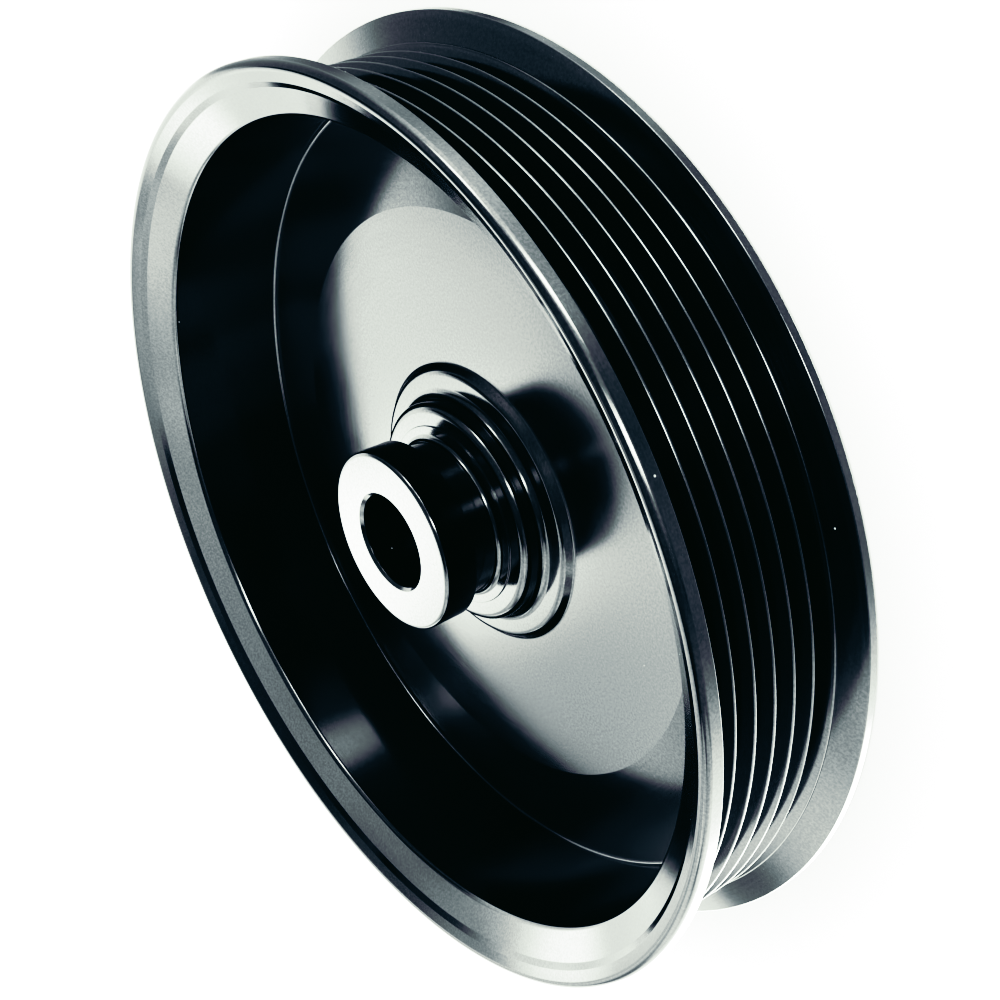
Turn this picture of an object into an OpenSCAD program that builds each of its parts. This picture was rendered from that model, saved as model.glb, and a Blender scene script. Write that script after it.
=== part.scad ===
// One-piece turned pulley for a multi-ribbed belt.
// It lies on its flat back face, with the open dish and the stepped hub facing up.
// The origin is on the axis of the bore, at the back face. Millimetres, +Z along the axis.

/* [Belt track] */
// Radius of the rib tips
rib_tip_r = 71.85; // [71.6:0.05:72.1]
// Distance from one rib to the next
groove_pitch = 3.56; // [3.5:0.01:3.57]
// Number of V grooves, counted from the open side
groove_count = 6; // [3:1:6]
// Depth of each V groove below the rib tips
groove_depth = 2.9; // [2.2:0.1:3]
// Angle between the two flanks of a V groove, in degrees
groove_angle = 40; // [34:1:42]
// Width of the flat on a rib tip, before its edges are rounded
rib_tip_w = 0.4; // [0.4:0.05:1.1]
// Radius of the two smooth lands beside the grooves
land_r = 72.25; // [72.15:0.05:72.4]
// Height of the middle of the groove nearest the open side
first_groove_h = 22.78; // [22.7:0.02:23]

/* [Flanges and lip] */
// Outer radius of the flange on the open side
lip_r = 75.5; // [75.2:0.05:76]
// Height of the groove-side edge of that flange
lip_edge_h = 26.8; // [26.6:0.05:27.2]
// Height of the foot of that flange, where it meets the land
lip_foot_h = 26.1; // [25.6:0.05:26.2]
// Radius of the rounded crest of the lip
lip_round = 1.1; // [0.5:0.05:1.3]
// Outer radius of the flange on the back
rear_flange_r = 76.5; // [76:0.05:77.5]
// Thickness of the back flange at its outer edge
rear_flange_h = 1.6; // [1.5:0.05:2]
// Height of the foot of the back flange, where it meets the land
rear_foot_h = 2.95; // [2.2:0.05:2.95]

/* [Dish] */
// Radius of the dish's wall
dish_r = 66.8; // [66.7:0.05:67.2]
// Height of the dish's mouth, where the wall ends and the bevel starts
mouth_h = 25.05; // [24.7:0.05:25.4]
// Rounding where the wall turns into the bevel
mouth_round = 1.3; // [0.2:0.1:1.8]
// Radius of the outer end of the bevel
bevel_r = 71.5; // [71.2:0.05:71.8]
// Height of the outer end of the bevel
bevel_h = 28.0; // [27.8:0.05:28.2]
// Radius where the lip's face starts, outside the narrow steep step
lip_face_r = 72.4; // [72.2:0.05:72.7]
// Height where the lip's face starts
lip_face_h = 28.8; // [28.7:0.05:29]
// Slope of the lip's face, in degrees
lip_face_slope = 28; // [24:0.5:30]

/* [Web] */
// Height of the flat inner part of the web
web_h = 6.55; // [6:0.05:7]
// Radius where the web starts to fall towards the wall
web_flat_r = 49; // [44:0.5:54]
// Height of the web at the wall
web_edge_h = 3.65; // [3.2:0.05:4.4]
// Fillet between the web and the wall
web_fillet = 0.5; // [0.2:0.1:1]

/* [Hub] */
// Radius of the bore
bore_r = 7.94; // [6:0.01:9]
// Width of the bevel at each end of the bore
bore_bevel = 0.5; // [0.3:0.05:1]
// Height of the hub's face
hub_h = 24.3; // [23.3:0.1:25.3]
// Radius of the collar at the hub's face
collar_r = 15.1; // [14.4:0.1:16]
// Rounding of the collar's front edge
collar_round = 0.65; // [0.3:0.05:1.2]
// Height of the collar's back edge, which a puller grips
collar_back_h = 18.25; // [17.5:0.05:19]
// Radius of the neck behind the collar
neck_r = 12.9; // [12:0.1:13.4]
// Fillet at the foot of the neck
neck_fillet = 1.1; // [0.3:0.1:1.3]
// Radius of the fine step on the upper shoulder
fine_step_r = 15.3; // [14.8:0.1:16]
// Height of that fine step's top
fine_step_h = 12.3; // [12.2:0.05:12.5]
// Radius of the upper shoulder
upper_r = 18.8; // [18.4:0.05:19.4]
// Height of the upper shoulder
upper_h = 12.0; // [11.6:0.05:12.1]
// Rounding of the upper shoulder's edge
upper_round = 1.4; // [0.4:0.05:1.6]
// Fillet at the foot of the upper shoulder
upper_fillet = 1.5; // [0.8:0.05:1.5]
// Radius of the lower shoulder's edge
lower_r = 22.9; // [22.3:0.05:23.1]
// Height of the lower shoulder
lower_h = 8.0; // [7.6:0.05:8.4]
// Rounding of the lower shoulder's edge
lower_round = 1.3; // [0.3:0.1:1.6]
// Radius of the lower shoulder's foot on the web
lower_foot_r = 24.1; // [23.9:0.05:24.8]

/* [Hidden] */

// Facets around the axis and points along each rounded corner
around = 180;
corner_steps = 5;
// Small bevel on the back face's outer edge
back_bevel = 0.3;
// Rounding of the rib tips
tip_round = 0.25;

// Half widths of a groove at the rib tips and at its bottom
flank_tan = tan(groove_angle / 2);
groove_half_top = (groove_pitch - rib_tip_w) / 2;
groove_half_root = groove_half_top - groove_depth * flank_tan;
groove_half_land = groove_half_top + (land_r - rib_tip_r) * flank_tan;
groove_root_r = rib_tip_r - groove_depth;
// The groove's bottom is almost fully round
root_round = 0.95 * groove_half_root * tan(45 + groove_angle / 4);
last_groove_h = first_groove_h - (groove_count - 1) * groove_pitch;

// Height at which the lip's sloping face would meet the outer cylinder
lip_top_h = lip_face_h + (lip_r - lip_face_r) * tan(lip_face_slope);

function unit(v) = v / norm(v);
function angle_of(v) = atan2(v[1], v[0]);
function wrap(d) = d > 180 ? d - 360 : (d < -180 ? d + 360 : d);

// Points of one corner b of a path that comes from a and goes on to c.
// Each corner is [radius from the axis, height, rounding].
function corner(a, b, c) =
    let (p = [b[0], b[1]], R = b[2])
    R == 0 ? [p] :
    let (
        u = unit([a[0], a[1]] - p),
        v = unit([c[0], c[1]] - p),
        half = acos(max(-1, min(1, u * v))) / 2,
        m = p + unit(u + v) * (R / sin(half)),
        from = angle_of(p + u * (R / tan(half)) - m),
        to = angle_of(p + v * (R / tan(half)) - m),
        turn = wrap(to - from))
    [for (i = [0 : corner_steps])
        let (t = from + turn * i / corner_steps)
        m + R * [cos(t), sin(t)]];

// A closed path with every corner rounded by its own radius
function rounded(path) =
    let (n = len(path))
    [for (i = [0 : n - 1])
        for (q = corner(path[(i + n - 1) % n], path[i], path[(i + 1) % n])) q];

// Bore, hub face, collar, neck and the two shoulders, down to the web
function hub_path() = [
    [bore_r, bore_bevel, 0],
    [bore_r, hub_h - bore_bevel, 0.1],
    [bore_r + bore_bevel, hub_h, 0.1],
    [collar_r, hub_h, collar_round],
    [collar_r, collar_back_h, 0.3],
    [neck_r, collar_back_h, 0.5],
    [neck_r, fine_step_h, neck_fillet],
    [fine_step_r, fine_step_h, 0.08],
    [fine_step_r, upper_h, 0.08],
    [upper_r, upper_h, upper_round],
    [upper_r, lower_h, upper_fillet],
    [lower_r, lower_h, lower_round],
    [lower_foot_r, web_h, 0.5]];

// Web, wall of the dish, bevel, narrow step, sloping face and crest of the lip
function dish_path() = [
    [web_flat_r, web_h, 0],
    [dish_r, web_edge_h, web_fillet],
    [dish_r, mouth_h, mouth_round],
    [bevel_r, bevel_h, 0.1],
    [lip_face_r, lip_face_h, 0.1],
    [lip_r, lip_top_h, lip_round],
    [lip_r, lip_edge_h, 0.2]];

// One V groove, from its upper to its lower edge
function groove_path(i) =
    let (
        h = first_groove_h - i * groove_pitch,
        first = i == 0,
        last = i == groove_count - 1)
    [
        [first ? land_r : rib_tip_r, h + (first ? groove_half_land : groove_half_top), tip_round],
        [groove_root_r, h + groove_half_root, root_round],
        [groove_root_r, h - groove_half_root, root_round],
        [last ? land_r : rib_tip_r, h - (last ? groove_half_land : groove_half_top), tip_round]];

// Land and grooves of the belt track, down to the foot of the back flange
function belt_path() = concat(
    [[land_r, lip_foot_h, 0.4]],
    [for (i = [0 : groove_count - 1]) for (q = groove_path(i)) q],
    [[land_r, rear_foot_h, 0]]);

// Back flange and the flat back face
function back_path() = [
    [rear_flange_r, rear_flange_h, 0.2],
    [rear_flange_r, back_bevel, 0],
    [rear_flange_r - back_bevel, 0, 0],
    [bore_r + bore_bevel, 0, 0]];

// The whole pulley is one turned solid
module pulley() {
    color([0.06, 0.07, 0.08])
    rotate_extrude($fn = around)
        polygon(rounded(concat(hub_path(), dish_path(), belt_path(), back_path())));
}

pulley();
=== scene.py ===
# Looks of a turned, black anodised belt pulley that rests on its flat back face.
# Metres, in the shared frame: +Z along the axis, the origin at the back face.
import math

import bpy
from mathutils import Matrix, Vector


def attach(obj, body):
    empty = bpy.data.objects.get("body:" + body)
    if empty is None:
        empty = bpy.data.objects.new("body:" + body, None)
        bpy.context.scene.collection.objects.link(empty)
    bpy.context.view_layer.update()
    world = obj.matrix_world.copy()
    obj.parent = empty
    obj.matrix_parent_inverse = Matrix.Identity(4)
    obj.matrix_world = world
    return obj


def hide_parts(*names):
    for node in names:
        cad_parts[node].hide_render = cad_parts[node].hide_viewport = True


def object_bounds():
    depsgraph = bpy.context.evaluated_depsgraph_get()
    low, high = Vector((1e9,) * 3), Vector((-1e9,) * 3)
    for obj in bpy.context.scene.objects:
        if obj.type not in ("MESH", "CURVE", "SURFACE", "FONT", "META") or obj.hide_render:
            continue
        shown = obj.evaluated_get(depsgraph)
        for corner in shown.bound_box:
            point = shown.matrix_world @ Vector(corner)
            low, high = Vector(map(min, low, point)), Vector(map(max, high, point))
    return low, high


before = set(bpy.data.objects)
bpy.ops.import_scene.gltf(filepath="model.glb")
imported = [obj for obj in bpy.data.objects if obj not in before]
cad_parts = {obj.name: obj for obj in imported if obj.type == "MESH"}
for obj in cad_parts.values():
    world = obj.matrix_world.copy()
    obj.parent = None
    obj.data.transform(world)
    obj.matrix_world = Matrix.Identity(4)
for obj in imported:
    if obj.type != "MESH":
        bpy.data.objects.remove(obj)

CAD_BOX = [list(corner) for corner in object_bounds()]
MM = 0.001

# ---------------------------------------------------------------- the turned profile
# The same corners as the solid's section: [radius from the axis, height, rounding], in millimetres.
RIB_TIP_R, PITCH, GROOVES, DEPTH, ANGLE, TIP_W = 71.85, 3.56, 6, 2.9, 40.0, 0.4
LAND_R, FIRST_H = 72.25, 22.78
TAN = math.tan(math.radians(ANGLE / 2))
HALF_TOP = (PITCH - TIP_W) / 2
HALF_ROOT = HALF_TOP - DEPTH * TAN
HALF_LAND = HALF_TOP + (LAND_R - RIB_TIP_R) * TAN
ROOT_R = RIB_TIP_R - DEPTH
ROOT_ROUND = 0.95 * HALF_ROOT * math.tan(math.radians(45 + ANGLE / 4))
LIP_TOP_H = 28.8 + (75.5 - 72.4) * math.tan(math.radians(28))

HUB = [
    (7.94, 0.5, 0), (7.94, 23.8, 0.1), (8.44, 24.3, 0.1), (15.1, 24.3, 0.65),
    (15.1, 18.25, 0.3), (12.9, 18.25, 0.5), (12.9, 12.3, 1.1), (15.3, 12.3, 0.08),
    (15.3, 12.0, 0.08), (18.8, 12.0, 1.4), (18.8, 8.0, 1.5), (22.9, 8.0, 1.3),
    (24.1, 6.55, 0.5)]
DISH = [
    (49.0, 6.55, 0), (66.8, 3.65, 0.5), (66.8, 25.05, 1.3), (71.5, 28.0, 0.1),
    (72.4, 28.8, 0.1), (75.5, LIP_TOP_H, 1.1), (75.5, 26.8, 0.2)]
BELT = [(LAND_R, 26.1, 0.4)]
for i in range(GROOVES):
    h = FIRST_H - i * PITCH
    top = (LAND_R, h + HALF_LAND) if i == 0 else (RIB_TIP_R, h + HALF_TOP)
    low = (LAND_R, h - HALF_LAND) if i == GROOVES - 1 else (RIB_TIP_R, h - HALF_TOP)
    BELT += [(*top, 0.25), (ROOT_R, h + HALF_ROOT, ROOT_ROUND),
             (ROOT_R, h - HALF_ROOT, ROOT_ROUND), (*low, 0.25)]
BELT += [(LAND_R, 2.95, 0)]
BACK = [(76.5, 1.6, 0.2), (76.5, 0.3, 0), (76.2, 0, 0), (8.44, 0, 0)]


def outline(corners):
    """Points of the closed section, each with the outward normals before and after it."""
    count = len(corners)
    ends = []          # per corner: list of (r, h, normal_before, normal_after)
    for i in range(count):
        a, b, c = (Vector(corners[(i + k) % count][:2]) for k in (-1, 0, 1))
        to_b, to_c = (b - a).normalized(), (c - b).normalized()
        n_in, n_out = Vector((-to_b.y, to_b.x)), Vector((-to_c.y, to_c.x))
        rounding = corners[i][2]
        if rounding == 0:
            ends.append([(b, n_in, n_out)])
            continue
        u, v = -to_b, to_c
        half = math.acos(max(-1.0, min(1.0, u.dot(v)))) / 2
        m = b + (u + v).normalized() * (rounding / math.sin(half))
        p0, p1 = b + u * (rounding / math.tan(half)), b + v * (rounding / math.tan(half))
        t0, t1 = math.atan2(*(p0 - m).yx), math.atan2(*(p1 - m).yx)
        turn = (t1 - t0 + math.pi) % (2 * math.pi) - math.pi
        steps = max(3, min(10, math.ceil(abs(turn) / math.radians(15))))
        sign = 1.0 if (p0 - m).dot(n_in) > 0 else -1.0
        arc = []
        for k in range(steps + 1):
            t = t0 + turn * k / steps
            d = Vector((math.cos(t), math.sin(t)))
            arc.append((m + rounding * d, sign * d, sign * d))
        ends.append(arc)
    return [point for arc in ends for point in arc]


def lathe(name, corners, around):
    """A body of revolution with true normals, as quads."""
    points = outline(corners)
    count = len(points)
    verts, faces, normals = [], [], []
    ring = [(math.cos(2 * math.pi * j / around), math.sin(2 * math.pi * j / around)) for j in range(around)]
    top = CAD_BOX[1][2]          # the finer crest would stand a few thousandths of a millimetre proud
    for p, _, _ in points:
        verts += [(p.x * c * MM, p.x * s * MM, min(p.y * MM, top)) for c, s in ring]
    for i in range(count):
        k = (i + 1) % count
        n0, n1 = points[i][2], points[k][1]
        for j in range(around):
            l = (j + 1) % around
            faces.append((i * around + j, k * around + j, k * around + l, i * around + l))
            for n, q in ((n0, j), (n1, j), (n1, l), (n0, l)):
                normals.append((n.x * ring[q][0], n.x * ring[q][1], n.y))
    mesh = bpy.data.meshes.new(name)
    mesh.from_pydata(verts, [], faces)
    mesh.polygons.foreach_set("use_smooth", [True] * len(faces))
    flat = mesh.polygons[0].normal.dot(Vector(normals[0])) < 0
    if flat:
        mesh.flip_normals()
        turned = []
        for f in range(len(faces)):
            a, b, c, d = normals[4 * f: 4 * f + 4]
            turned += [a, d, c, b]
        normals = turned
    mesh.normals_split_custom_set(normals)
    mesh.update()
    made = bpy.data.objects.new(name, mesh)
    bpy.context.scene.collection.objects.link(made)
    return made


pulley = lathe("turned_pulley", HUB + DISH + BELT + BACK, 360)
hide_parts("pulley")
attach(pulley, "root")


# ---------------------------------------------------------------- material
def new_material(name):
    material = bpy.data.materials.new(name)
    material.use_nodes = True
    tree = material.node_tree
    tree.nodes.clear()
    return material, tree


def node(tree, kind, **settings):
    made = tree.nodes.new(kind)
    for key, value in settings.items():
        setattr(made, key, value)
    return made


def math_node(tree, operation, *inputs, clamp=False):
    made = node(tree, "ShaderNodeMath", operation=operation, use_clamp=clamp)
    for socket, value in zip(made.inputs, inputs):
        if isinstance(value, (int, float)):
            socket.default_value = value
        else:
            tree.links.new(value, socket)
    return made.outputs[0]


def vector_node(tree, operation, *inputs, scale=None):
    made = node(tree, "ShaderNodeVectorMath", operation=operation)
    for socket, value in zip(made.inputs, inputs):
        if isinstance(value, (tuple, Vector)):
            socket.default_value = value
        else:
            tree.links.new(value, socket)
    if scale is not None:
        made.inputs["Scale"].default_value = scale
    return made


def noise(tree, vector, scale, detail=2.0, roughness=0.5):
    made = node(tree, "ShaderNodeTexNoise", noise_dimensions="3D")
    tree.links.new(vector, made.inputs["Vector"])
    made.inputs["Scale"].default_value = scale
    made.inputs["Detail"].default_value = detail
    made.inputs["Roughness"].default_value = roughness
    return made.outputs["Fac"]


def fade(tree, value, start, end, low=0.0, high=1.0):
    made = node(tree, "ShaderNodeMapRange", interpolation_type="SMOOTHSTEP")
    tree.links.new(value, made.inputs["Value"])
    made.inputs["From Min"].default_value = start
    made.inputs["From Max"].default_value = end
    made.inputs["To Min"].default_value = low
    made.inputs["To Max"].default_value = high
    return made.outputs[0]


def mix_colour(tree, factor, first, second):
    made = node(tree, "ShaderNodeMix", data_type="RGBA")
    tree.links.new(factor, made.inputs["Factor"])
    for socket, value in ((made.inputs["A"], first), (made.inputs["B"], second)):
        if isinstance(value, tuple):
            socket.default_value = (*value, 1)
        else:
            tree.links.new(value, socket)
    return made.outputs["Result"]


def anodised():
    """Satin black anodising over fine turning marks, in millimetres from the axis and the back face."""
    material, tree = new_material("black_anodised_aluminium")
    link = tree.links.new
    out = node(tree, "ShaderNodeOutputMaterial")
    shader = node(tree, "ShaderNodeBsdfPrincipled")
    link(shader.outputs[0], out.inputs[0])

    place = vector_node(tree, "SCALE", node(tree, "ShaderNodeTexCoord").outputs["Object"], scale=1000.0).outputs[0]
    parts = node(tree, "ShaderNodeSeparateXYZ")
    link(place, parts.inputs[0])
    flat = vector_node(tree, "MULTIPLY", place, (1.0, 1.0, 0.0)).outputs[0]
    radius = vector_node(tree, "LENGTH", flat).outputs["Value"]
    height = parts.outputs["Z"]
    round_way = vector_node(tree, "NORMALIZE", flat).outputs[0]

    # Turning marks: noise that is long round the axis and fine across it
    across = node(tree, "ShaderNodeCombineXYZ")
    link(radius, across.inputs[0])
    link(height, across.inputs[1])
    marks_place = vector_node(tree, "ADD", across.outputs[0],
                              vector_node(tree, "SCALE", round_way, scale=1.3).outputs[0]).outputs[0]
    marks = noise(tree, marks_place, 2.6, detail=3.0, roughness=0.62)
    # Grain of the skin, soft patches of handling, and scarce specks of dust
    grain = noise(tree, place, 5.5, detail=2.0, roughness=0.6)
    clouds = noise(tree, place, 0.055, detail=3.0, roughness=0.55)
    cells = node(tree, "ShaderNodeTexVoronoi", feature="F1", voronoi_dimensions="3D")
    link(place, cells.inputs["Vector"])
    cells.inputs["Scale"].default_value = 0.19
    cell_pick = node(tree, "ShaderNodeSeparateColor")
    link(cells.outputs["Color"], cell_pick.inputs[0])
    speck = math_node(tree, "MULTIPLY",
                      fade(tree, cells.outputs["Distance"], 0.022, 0.036, 1.0, 0.0),
                      fade(tree, cell_pick.outputs[0], 0.78, 0.8))

    # Rib tips and the outer edges of both flanges, where a belt and hands rub the skin thinner; on the rib tips the
    # lighter colour is also a painted highlight that stands for the thin bright lines of light along them
    rib_tip_wear_and_highlight = math_node(tree, "MULTIPLY", fade(tree, radius, 71.55, 71.8), fade(tree, radius, 71.95, 72.05, 1.0, 0.0))
    rib_tip_wear_and_highlight = math_node(tree, "MULTIPLY", rib_tip_wear_and_highlight, fade(tree, height, 24.2, 24.5, 1.0, 0.0))
    on_edges = fade(tree, radius, 75.2, 75.7)
    wear_and_painted_highlight = math_node(tree, "MULTIPLY", math_node(tree, "ADD", math_node(tree, "MULTIPLY", rib_tip_wear_and_highlight, 0.2),
                                                   math_node(tree, "MULTIPLY", on_edges, 0.16), clamp=True),
                       fade(tree, marks, 0.3, 0.62, 0.45, 1.0))

    skin = mix_colour(tree, fade(tree, clouds, 0.38, 0.62), (0.0030, 0.0034, 0.0036), (0.0042, 0.0046, 0.0049))
    # Lighter skin where worn, which on the rib tips is also a painted highlight
    skin = mix_colour(tree, wear_and_painted_highlight, skin, (0.045, 0.05, 0.052))
    skin = mix_colour(tree, speck, skin, (0.3, 0.31, 0.3))
    link(skin, shader.inputs["Base Color"])

    rough = math_node(tree, "ADD", fade(tree, grain, 0.3, 0.7, 0.085, 0.125), fade(tree, marks, 0.3, 0.7, 0.0, 0.03))
    rough = math_node(tree, "ADD", rough, fade(tree, clouds, 0.35, 0.65, -0.008, 0.014))
    # The web is turned a little coarser than the rim and the hub
    on_web = math_node(tree, "MULTIPLY", fade(tree, radius, 23.8, 24.6), fade(tree, height, 6.7, 7.0, 1.0, 0.0))
    on_web = math_node(tree, "MULTIPLY", on_web, fade(tree, radius, 66.0, 66.7, 1.0, 0.0))
    rough = math_node(tree, "ADD", rough, math_node(tree, "MULTIPLY", on_web, 0.055))
    rough = math_node(tree, "ADD", rough, math_node(tree, "MULTIPLY", speck, 0.5), clamp=True)
    link(rough, shader.inputs["Roughness"])
    shader.inputs["Metallic"].default_value = 0.0
    shader.inputs["IOR"].default_value = 1.58
    fine = noise(tree, place, 2.6, detail=1.0, roughness=0.6)
    link(fade(tree, fine, 0.25, 0.75, 0.43, 0.57), shader.inputs["Specular IOR Level"])

    relief = math_node(tree, "ADD", math_node(tree, "MULTIPLY", marks, 0.6), math_node(tree, "MULTIPLY", grain, 0.4))
    bump = node(tree, "ShaderNodeBump")
    bump.inputs["Strength"].default_value = 0.3
    bump.inputs["Distance"].default_value = 0.000006
    link(relief, bump.inputs["Height"])
    link(bump.outputs[0], shader.inputs["Normal"])
    return material


pulley.data.materials.append(anodised())


# ---------------------------------------------------------------- floor, light, camera
def emission(name, colour, strength):
    material, tree = new_material(name)
    out = node(tree, "ShaderNodeOutputMaterial")
    shader = node(tree, "ShaderNodeEmission")
    shader.inputs[0].default_value = (*colour, 1)
    shader.inputs[1].default_value = strength
    tree.links.new(shader.outputs[0], out.inputs[0])
    return material, tree, shader


def only_seen_by(obj, **seen):
    for ray in ("camera", "diffuse", "glossy", "transmission", "volume_scatter", "shadow"):
        setattr(obj, "visible_" + ray, seen.get(ray, False))


floor_mesh = bpy.data.meshes.new("floor")
floor_mesh.from_pydata([(-6, -6, 0), (6, -6, 0), (6, 6, 0), (-6, 6, 0)], [], [(0, 1, 2, 3)])
floor = bpy.data.objects.new("floor", floor_mesh)
bpy.context.scene.collection.objects.link(floor)
floor.location.z = -0.00002
white, tree = new_material("pale_floor")
out = node(tree, "ShaderNodeOutputMaterial")
paper = node(tree, "ShaderNodeBsdfPrincipled")
paper.inputs["Base Color"].default_value = (0.86, 0.86, 0.86, 1)
paper.inputs["Roughness"].default_value = 0.9
paper.inputs["Specular IOR Level"].default_value = 0.0
tree.links.new(paper.outputs[0], out.inputs[0])
floor_mesh.materials.append(white)
floor.visible_glossy = False

world = bpy.data.worlds.new("studio")
bpy.context.scene.world = world
world.use_nodes = True
background = world.node_tree.nodes["Background"]
background.inputs[0].default_value = (1, 1, 1, 1)
background.inputs[1].default_value = 4.6


def direction(azimuth, elevation):
    """Azimuth 0 points along -Y and 90 along +X; elevation is above the floor."""
    a, e = math.radians(azimuth), math.radians(elevation)
    return Vector((math.sin(a) * math.cos(e), -math.cos(a) * math.cos(e), math.sin(e)))


# A tent round the part with soft round lights on it, which only its gloss sees.
# Each light: (azimuth, elevation, radius of the full light, radius where it ends, strength), in degrees.
# A strength below zero is a dark card in front of the lights.
TENT_R = 0.3
TENT_CENTRE = Vector((0, 0, 0.015))
LIGHTS = [
    (-1, 20, 2, 9, 58.0), (-2, 10, 2, 10, 58.0), (1, 31, 2, 9, 48.0), (56, 20, 3, 11, 46.0),
    (28, -4, 4, 11, 46.0), (26, -15, 4, 10, 40.0), (32, 8, 3, 10, 34.0), (-102, -28, 11, 56, 14.9),
    (47, -1, 7, 43, 12.3), (-179, 28, 4, 11, 11.0), (-128, -48, 35, 37, 9.8), (-107, -43, 22, 24, 8.6),
    (-85, 39, 12, 14, 7.4), (-178, 73, 1, 12, 6.6), (-145, 0, 19, 21, 6.3), (161, 7, 28, 38, 5.7),
    (-111, 30, 4, 18, 5.7), (-71, 9, 18, 20, 5.3), (-1, 8, 0, 36, 4.8), (-64, -88, 5, 27, 4.5),
    (163, 43, 17, 30, 4.2), (-144, 50, 17, 28, 3.9), (-131, 35, 31, 37, 3.7), (147, -51, 15, 37, 3.7),
    (-103, 48, 0, 10, 3.6), (-26, -49, 0, 58, 3.5), (-167, -16, 4, 10, 3.3), (156, 66, 1, 10, 2.9),
    (75, -30, 12, 30, 2.8), (-67, 9, 25, 45, 2.6), (-159, 65, 3, 8, 2.0), (22, 52, 27, 62, 1.9),
    (109, 16, 32, 48, 1.7), (22, -30, 5, 22, 1.5), (-172, 52, 6, 9, 1.3), (162, 50, 6, 11, 1.3),
    (-174, 19, 13, 18, 1.1), (-130, 15, 6, 15, -2.2), (-135, 37, 5, 14, -2.3), (142, 42, 15, 17, -3.4),
    (-180, 56, 9, 11, -3.6),
]


def brightness(d):
    """Light of the tent in one direction, from all the soft round lights and dark cards."""
    total = 0.0
    for towards, full, end, strength in AIMED:
        facing = d.dot(towards)
        if facing > math.cos(end):
            t = max(0.0, (math.acos(min(1.0, facing)) - full) / (end - full))
            total += strength * (1 - t * t * (3 - 2 * t))
    return max(total, 0.0)


AIMED = [(direction(azimuth, elevation), math.radians(full), math.radians(end), strength)
         for azimuth, elevation, full, end, strength in LIGHTS]


def tent():
    verts, faces, levels = [], [], []
    rings, around = 120, 240
    for i in range(rings + 1):
        for j in range(around):
            d = direction(360 * j / around, -90 + 180 * i / rings)
            verts.append(TENT_CENTRE + d * TENT_R)
            levels.append(brightness(d))
    for i in range(rings):
        for j in range(around):
            k = (j + 1) % around
            faces.append((i * around + j, i * around + k, (i + 1) * around + k, (i + 1) * around + j))
    mesh = bpy.data.meshes.new("light_tent")
    mesh.from_pydata(verts, [], faces)
    mesh.attributes.new("brightness", "FLOAT", "POINT").data.foreach_set("value", levels)
    made = bpy.data.objects.new("light_tent", mesh)
    bpy.context.scene.collection.objects.link(made)
    material, tree, shader = emission("tent_light", (1, 1, 1), 1.0)
    level = node(tree, "ShaderNodeAttribute", attribute_name="brightness")
    tree.links.new(level.outputs["Fac"], shader.inputs[1])
    material.cycles.emission_sampling = "NONE"
    mesh.materials.append(material)
    only_seen_by(made, glossy=True)
    return made


tent()

camera_data = bpy.data.cameras.new("camera")
camera = bpy.data.objects.new("camera", camera_data)
bpy.context.scene.collection.objects.link(camera)
bpy.context.scene.camera = camera
camera_data.sensor_width = 36
camera_data.lens = 54.841
camera_data.shift_x, camera_data.shift_y = 0.0857, 0.0726
camera_data.clip_start, camera_data.clip_end = 0.01, 30
right = Vector((-0.409681, -0.423067, -0.808193))
up = Vector((0.911898, -0.166056, -0.375324))
back = Vector((0.024582, -0.890753, 0.453824))
camera.matrix_world = Matrix.Translation((0, -0.216327, 0.132684)) @ Matrix((right, up, back)).transposed().to_4x4()

scene = bpy.context.scene
scene.view_settings.view_transform = "Standard"
scene.view_settings.look = "None"
scene.view_settings.exposure = 0.0
scene.view_settings.gamma = 1.0
# A hard tone curve, as if the picture were printed: deep shadows, a slow climb to paper white
TONE_TOP = 3.0
TONE = [(0, 0), (0.05, 0.0015), (0.1, 0.005), (0.15, 0.018), (0.2, 0.045), (0.3, 0.115), (0.4, 0.215),
        (0.55, 0.41), (0.75, 0.6), (1, 0.74), (1.4, 0.83), (2.2, 0.94), (3, 1)]
TINTS = [[(0, 0.0003), (0.006, 0.0022), (0.014, 0.0062), (0.048, 0.041), (0.124, 0.1), (0.174, 0.14), (0.423, 0.388), (0.574, 0.552), (0.81, 0.785), (1, 1)],
         [(0, 0.0016), (0.006, 0.0065), (0.014, 0.0152), (0.048, 0.048), (0.124, 0.13), (0.174, 0.181), (0.423, 0.434), (0.574, 0.584), (0.81, 0.823), (1, 1)],
         [(0, 0.0009), (0.006, 0.0105), (0.014, 0.0235), (0.048, 0.068), (0.124, 0.136), (0.174, 0.192), (0.423, 0.428), (0.574, 0.55), (0.81, 0.77), (1, 1)]]
STOPS = [0, 0.025, 0.05, 0.075, 0.1, 0.125, 0.15, 0.175, 0.2, 0.25, 0.3, 0.35, 0.4, 0.475, 0.55, 0.65, 0.75, 0.875,
         1, 1.2, 1.4, 1.8, 2.2, 2.6, 3]


def between(points, x):
    for (x0, y0), (x1, y1) in zip(points, points[1:]):
        if x <= x1:
            return y0 + (y1 - y0) * (x - x0) / (x1 - x0)
    return points[-1][1]


scene.view_settings.use_curve_mapping = True
mapping = scene.view_settings.curve_mapping
mapping.white_level = (TONE_TOP, TONE_TOP, TONE_TOP)
for curve, tint in zip(mapping.curves[:3], TINTS):
    points = [(x / TONE_TOP, between(tint, between(TONE, x))) for x in STOPS]
    while len(curve.points) < len(points):
        curve.points.new(0.5, 0.5)
    for point, (x, y) in zip(curve.points, points):
        point.location = (x, y)
        point.handle_type = "VECTOR"
mapping.update()
